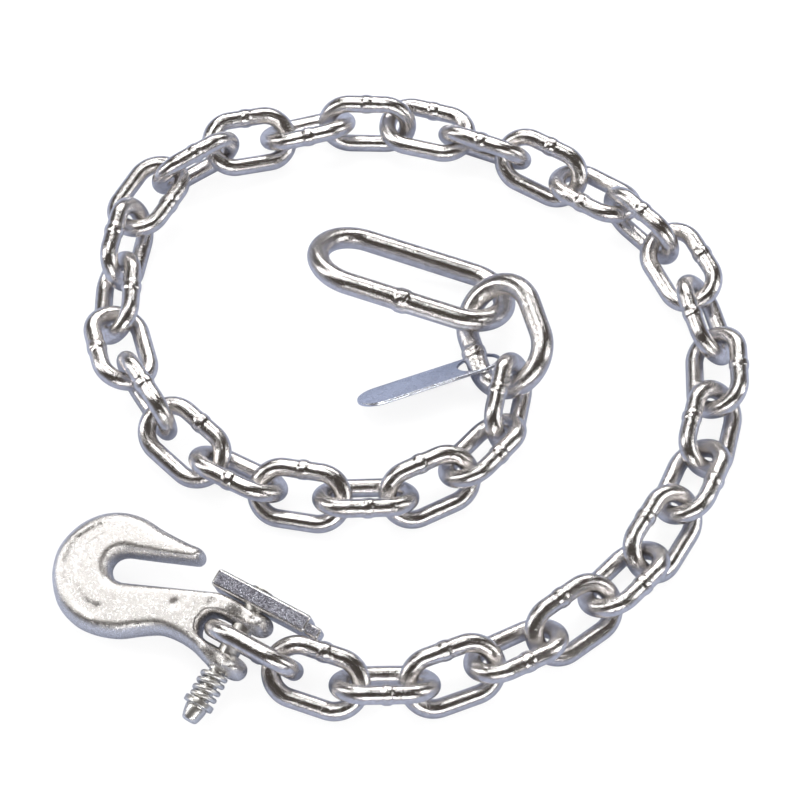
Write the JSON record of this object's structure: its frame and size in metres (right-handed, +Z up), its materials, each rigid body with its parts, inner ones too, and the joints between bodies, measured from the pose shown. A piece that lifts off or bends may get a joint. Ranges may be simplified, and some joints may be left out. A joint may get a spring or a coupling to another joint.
{
  "type": "safety chain hook",
  "caption": "Clevis grab hook with a sprung latch pin on a length of welded chain, joined by a coupling link to a long master link and a flat tag.",
  "frame": {"origin": "middle of the whole object's underside as it lies, on the floor", "axes": "+Z up; the hook lies at low X and low Y, the chain runs round towards +X, then +Y, and curls back to the master link near the middle"},
  "size_m": [0.3606, 0.3794, 0.042],
  "materials": {
    "forged_zinc": "satin zinc plate over a forged surface",
    "link_zinc": "bright zinc plate",
    "pin_zinc": "bright zinc plate, turned",
    "spring_zinc": "bright spring steel",
    "plate_zinc": "zinc plate over sheared edges",
    "tag_zinc": "smooth zinc plate"
  },
  "bodies": {
    "hook": {"hook_body": "forged_zinc", "latch_spring": "spring_zinc"},
    "pin": {"clevis_pin": "pin_zinc", "pin_collar": "pin_zinc"},
    "latch": {"latch_plate": "plate_zinc"},
    "tag": {"tag": "tag_zinc"},
    "coupling": {"coupling_link": "link_zinc"},
    "master": {"master_link": "link_zinc"},
    "chain_link_00": {"chain_link_00": "link_zinc"},
    "chain_link_01": {"chain_link_01": "link_zinc"},
    "chain_link_02": {"chain_link_02": "link_zinc"},
    "chain_link_03": {"chain_link_03": "link_zinc"},
    "chain_link_04": {"chain_link_04": "link_zinc"},
    "chain_link_05": {"chain_link_05": "link_zinc"},
    "chain_link_06": {"chain_link_06": "link_zinc"},
    "chain_link_07": {"chain_link_07": "link_zinc"},
    "chain_link_08": {"chain_link_08": "link_zinc"},
    "chain_link_09": {"chain_link_09": "link_zinc"},
    "chain_link_10": {"chain_link_10": "link_zinc"},
    "chain_link_11": {"chain_link_11": "link_zinc"},
    "chain_link_12": {"chain_link_12": "link_zinc"},
    "chain_link_13": {"chain_link_13": "link_zinc"},
    "chain_link_14": {"chain_link_14": "link_zinc"},
    "chain_link_15": {"chain_link_15": "link_zinc"},
    "chain_link_16": {"chain_link_16": "link_zinc"},
    "chain_link_17": {"chain_link_17": "link_zinc"},
    "chain_link_18": {"chain_link_18": "link_zinc"},
    "chain_link_19": {"chain_link_19": "link_zinc"},
    "chain_link_20": {"chain_link_20": "link_zinc"},
    "chain_link_21": {"chain_link_21": "link_zinc"},
    "chain_link_22": {"chain_link_22": "link_zinc"},
    "chain_link_23": {"chain_link_23": "link_zinc"},
    "chain_link_24": {"chain_link_24": "link_zinc"},
    "chain_link_25": {"chain_link_25": "link_zinc"},
    "chain_link_26": {"chain_link_26": "link_zinc"},
    "chain_link_27": {"chain_link_27": "link_zinc"},
    "chain_link_28": {"chain_link_28": "link_zinc"},
    "chain_link_29": {"chain_link_29": "link_zinc"},
    "chain_link_30": {"chain_link_30": "link_zinc"},
    "chain_link_31": {"chain_link_31": "link_zinc"},
    "chain_link_32": {"chain_link_32": "link_zinc"},
    "chain_link_33": {"chain_link_33": "link_zinc"}
  },
  "joints": [
    {"name": "latch_swing", "type": "hinge", "parent": "pin", "child": "latch", "pos_m": [-0.0857, -0.14874, 0.01775], "axis": [-0.4862, -0.8421, -0.2334], "range_deg": [0, 90]},
    {"name": "pin_slide", "type": "slide", "parent": "hook", "child": "pin", "axis": [0.4862, 0.8421, 0.2334], "range_m": [0, 0.0035], "stiffness_N_per_m": 1500, "springref_m": -0.004, "deforming": ["latch_spring"]},
    {"name": "tag_swing", "type": "hinge", "parent": "coupling", "child": "tag", "pos_m": [0.03773, 0.01893, 0.00999], "axis": [-0.2753, 0.9599, 0.0523], "range_deg": [-30, 4]},
    {"name": "master_swing", "type": "hinge", "parent": "coupling", "child": "master", "pos_m": [0.04353, 0.05731, 0.02448], "axis": [0.7664, 0.1862, 0.6148], "range_deg": [-30, 2]},
    {"name": "coupling_swing", "type": "hinge", "parent": "chain_link_33", "child": "coupling", "pos_m": [0.05794, 0.01208, 0.02023], "axis": [0.4474, -0.0037, -0.8943], "range_deg": [-30, 30]},
    {"name": "pinned_link_swing", "type": "hinge", "parent": "hook", "child": "chain_link_00", "pos_m": [-0.0857, -0.14874, 0.01775], "axis": [0.4862, 0.8421, 0.2334], "range_deg": [-30, 30]},
    {"name": "link_01_swing", "type": "hinge", "parent": "chain_link_00", "child": "chain_link_01", "pos_m": [-0.05639, -0.16567, 0.0194], "axis": [0.1669, 0.2891, -0.9426], "range_deg": [0, 30]},
    {"name": "link_02_swing", "type": "hinge", "parent": "chain_link_01", "child": "chain_link_02", "pos_m": [-0.02355, -0.17557, 0.01511], "axis": [-0.3115, -0.8438, -0.4369], "range_deg": [-10, 30]},
    {"name": "link_03_swing", "type": "hinge", "parent": "chain_link_02", "child": "chain_link_03", "pos_m": [0.01141, -0.17104, 0.01521], "axis": [0.0888, -0.7034, 0.7052], "range_deg": [-30, 30]},
    {"name": "link_04_swing", "type": "hinge", "parent": "chain_link_03", "child": "chain_link_04", "pos_m": [0.04354, -0.15842, 0.0157], "axis": [-0.2964, 0.7307, 0.615], "range_deg": [-30, 30]},
    {"name": "link_05_swing", "type": "hinge", "parent": "chain_link_04", "child": "chain_link_05", "pos_m": [0.07406, -0.14259, 0.01432], "axis": [-0.4016, 0.7258, -0.5585], "range_deg": [-30, 30]},
    {"name": "link_06_swing", "type": "hinge", "parent": "chain_link_05", "child": "chain_link_06", "pos_m": [0.10161, -0.12199, 0.01597], "axis": [0.4959, -0.6137, -0.6143], "range_deg": [-28, 30]},
    {"name": "link_07_swing", "type": "hinge", "parent": "chain_link_06", "child": "chain_link_07", "pos_m": [0.12474, -0.09656, 0.01394], "axis": [0.6357, -0.5339, 0.5575], "range_deg": [-30, 28]},
    {"name": "link_08_swing", "type": "hinge", "parent": "chain_link_07", "child": "chain_link_08", "pos_m": [0.14252, -0.06717, 0.01625], "axis": [-0.6962, 0.3729, 0.6134], "range_deg": [-30, 30]},
    {"name": "link_09_swing", "type": "hinge", "parent": "chain_link_08", "child": "chain_link_09", "pos_m": [0.15639, -0.03576, 0.01407], "axis": [-0.7728, 0.3025, -0.5579], "range_deg": [-30, 30]},
    {"name": "link_10_swing", "type": "hinge", "parent": "chain_link_09", "child": "chain_link_10", "pos_m": [0.16492, -0.00247, 0.01606], "axis": [0.7726, -0.1612, -0.6141], "range_deg": [-30, 30]},
    {"name": "link_11_swing", "type": "hinge", "parent": "chain_link_10", "child": "chain_link_11", "pos_m": [0.16524, 0.03205, 0.01688], "axis": [0.8088, -0.0215, 0.5877], "range_deg": [-30, 30]},
    {"name": "link_12_swing", "type": "hinge", "parent": "chain_link_11", "child": "chain_link_12", "pos_m": [0.15471, 0.06506, 0.0181], "axis": [-0.6061, -0.2215, 0.7639], "range_deg": [-30, 13]},
    {"name": "link_13_swing", "type": "hinge", "parent": "chain_link_12", "child": "chain_link_13", "pos_m": [0.13923, 0.09576, 0.02081], "axis": [-0.8409, -0.391, -0.3742], "range_deg": [-30, 7]},
    {"name": "link_14_swing", "type": "hinge", "parent": "chain_link_13", "child": "chain_link_14", "pos_m": [0.11394, 0.11995, 0.01979], "axis": [0.0434, 0.0032, -0.9991], "range_deg": [-19, 30]},
    {"name": "link_15_swing", "type": "hinge", "parent": "chain_link_14", "child": "chain_link_15", "pos_m": [0.08648, 0.14024, 0.0152], "axis": [0.595, 0.7282, -0.34], "range_deg": [-10, 30]},
    {"name": "link_16_swing", "type": "hinge", "parent": "chain_link_15", "child": "chain_link_16", "pos_m": [0.05519, 0.15467, 0.02011], "axis": [-0.3737, -0.5591, -0.7401], "range_deg": [-30, 7]},
    {"name": "link_17_swing", "type": "hinge", "parent": "chain_link_16", "child": "chain_link_17", "pos_m": [0.0228, 0.16668, 0.01846], "axis": [-0.1922, -0.3946, 0.8985], "range_deg": [-30, 13]},
    {"name": "link_18_swing", "type": "hinge", "parent": "chain_link_17", "child": "chain_link_18", "pos_m": [-0.01049, 0.17553, 0.01963], "axis": [0.2584, 0.9635, 0.0698], "range_deg": [-7, 30]},
    {"name": "link_19_swing", "type": "hinge", "parent": "chain_link_18", "child": "chain_link_19", "pos_m": [-0.04526, 0.17491, 0.01903], "axis": [-0.0217, 0.2939, 0.9556], "range_deg": [-25, 22]},
    {"name": "link_20_swing", "type": "hinge", "parent": "chain_link_19", "child": "chain_link_20", "pos_m": [-0.07864, 0.16788, 0.01324], "axis": [0.0602, -0.7895, 0.6107], "range_deg": [-30, 7]},
    {"name": "link_21_swing", "type": "hinge", "parent": "chain_link_20", "child": "chain_link_21", "pos_m": [-0.11014, 0.15503, 0.02228], "axis": [0.1965, -0.8389, -0.5076], "range_deg": [-30, 4]},
    {"name": "link_22_swing", "type": "hinge", "parent": "chain_link_21", "child": "chain_link_22", "pos_m": [-0.13776, 0.1334, 0.01877], "axis": [-0.0455, 0.2167, -0.9752], "range_deg": [-16, 13]},
    {"name": "link_23_swing", "type": "hinge", "parent": "chain_link_22", "child": "chain_link_23", "pos_m": [-0.15511, 0.1036, 0.01797], "axis": [-0.8582, 0.5026, -0.1043], "range_deg": [-4, 30]},
    {"name": "link_24_swing", "type": "hinge", "parent": "chain_link_23", "child": "chain_link_24", "pos_m": [-0.15762, 0.0683, 0.01818], "axis": [0.4387, -0.0363, -0.8979], "range_deg": [-22, 22]},
    {"name": "link_25_swing", "type": "hinge", "parent": "chain_link_24", "child": "chain_link_25", "pos_m": [-0.15701, 0.03391, 0.01661], "axis": [0.6428, -0.0236, 0.7657], "range_deg": [-30, 4]},
    {"name": "link_26_swing", "type": "hinge", "parent": "chain_link_25", "child": "chain_link_26", "pos_m": [-0.14655, 0.00091, 0.02079], "axis": [-0.9075, -0.2444, 0.3417], "range_deg": [-2, 30]},
    {"name": "link_27_swing", "type": "hinge", "parent": "chain_link_26", "child": "chain_link_27", "pos_m": [-0.12507, -0.02686, 0.01964], "axis": [-0.0103, -0.0494, 0.9987], "range_deg": [-25, 28]},
    {"name": "link_28_swing", "type": "hinge", "parent": "chain_link_27", "child": "chain_link_28", "pos_m": [-0.09943, -0.0493, 0.01435], "axis": [0.6482, 0.6456, 0.4037], "range_deg": [-30, 4]},
    {"name": "link_29_swing", "type": "hinge", "parent": "chain_link_28", "child": "chain_link_29", "pos_m": [-0.06725, -0.06312, 0.01566], "axis": [0.3076, 0.6506, -0.6943], "range_deg": [-30, 30]},
    {"name": "link_30_swing", "type": "hinge", "parent": "chain_link_29", "child": "chain_link_30", "pos_m": [-0.03315, -0.06881, 0.01563], "axis": [-0.14, -0.8367, -0.5295], "range_deg": [-13, 30]},
    {"name": "link_31_swing", "type": "hinge", "parent": "chain_link_30", "child": "chain_link_31", "pos_m": [0.00127, -0.06521, 0.01477], "axis": [0.0973, -0.7831, 0.6142], "range_deg": [-30, 30]},
    {"name": "link_32_swing", "type": "hinge", "parent": "chain_link_31", "child": "chain_link_32", "pos_m": [0.03227, -0.05008, 0.01737], "axis": [-0.3721, 0.6478, 0.6648], "range_deg": [-30, 28]},
    {"name": "link_33_swing", "type": "hinge", "parent": "chain_link_32", "child": "chain_link_33", "pos_m": [0.05392, -0.02286, 0.01836], "axis": [-0.6228, 0.5167, -0.5875], "range_deg": [-30, 30]}
  ]
}
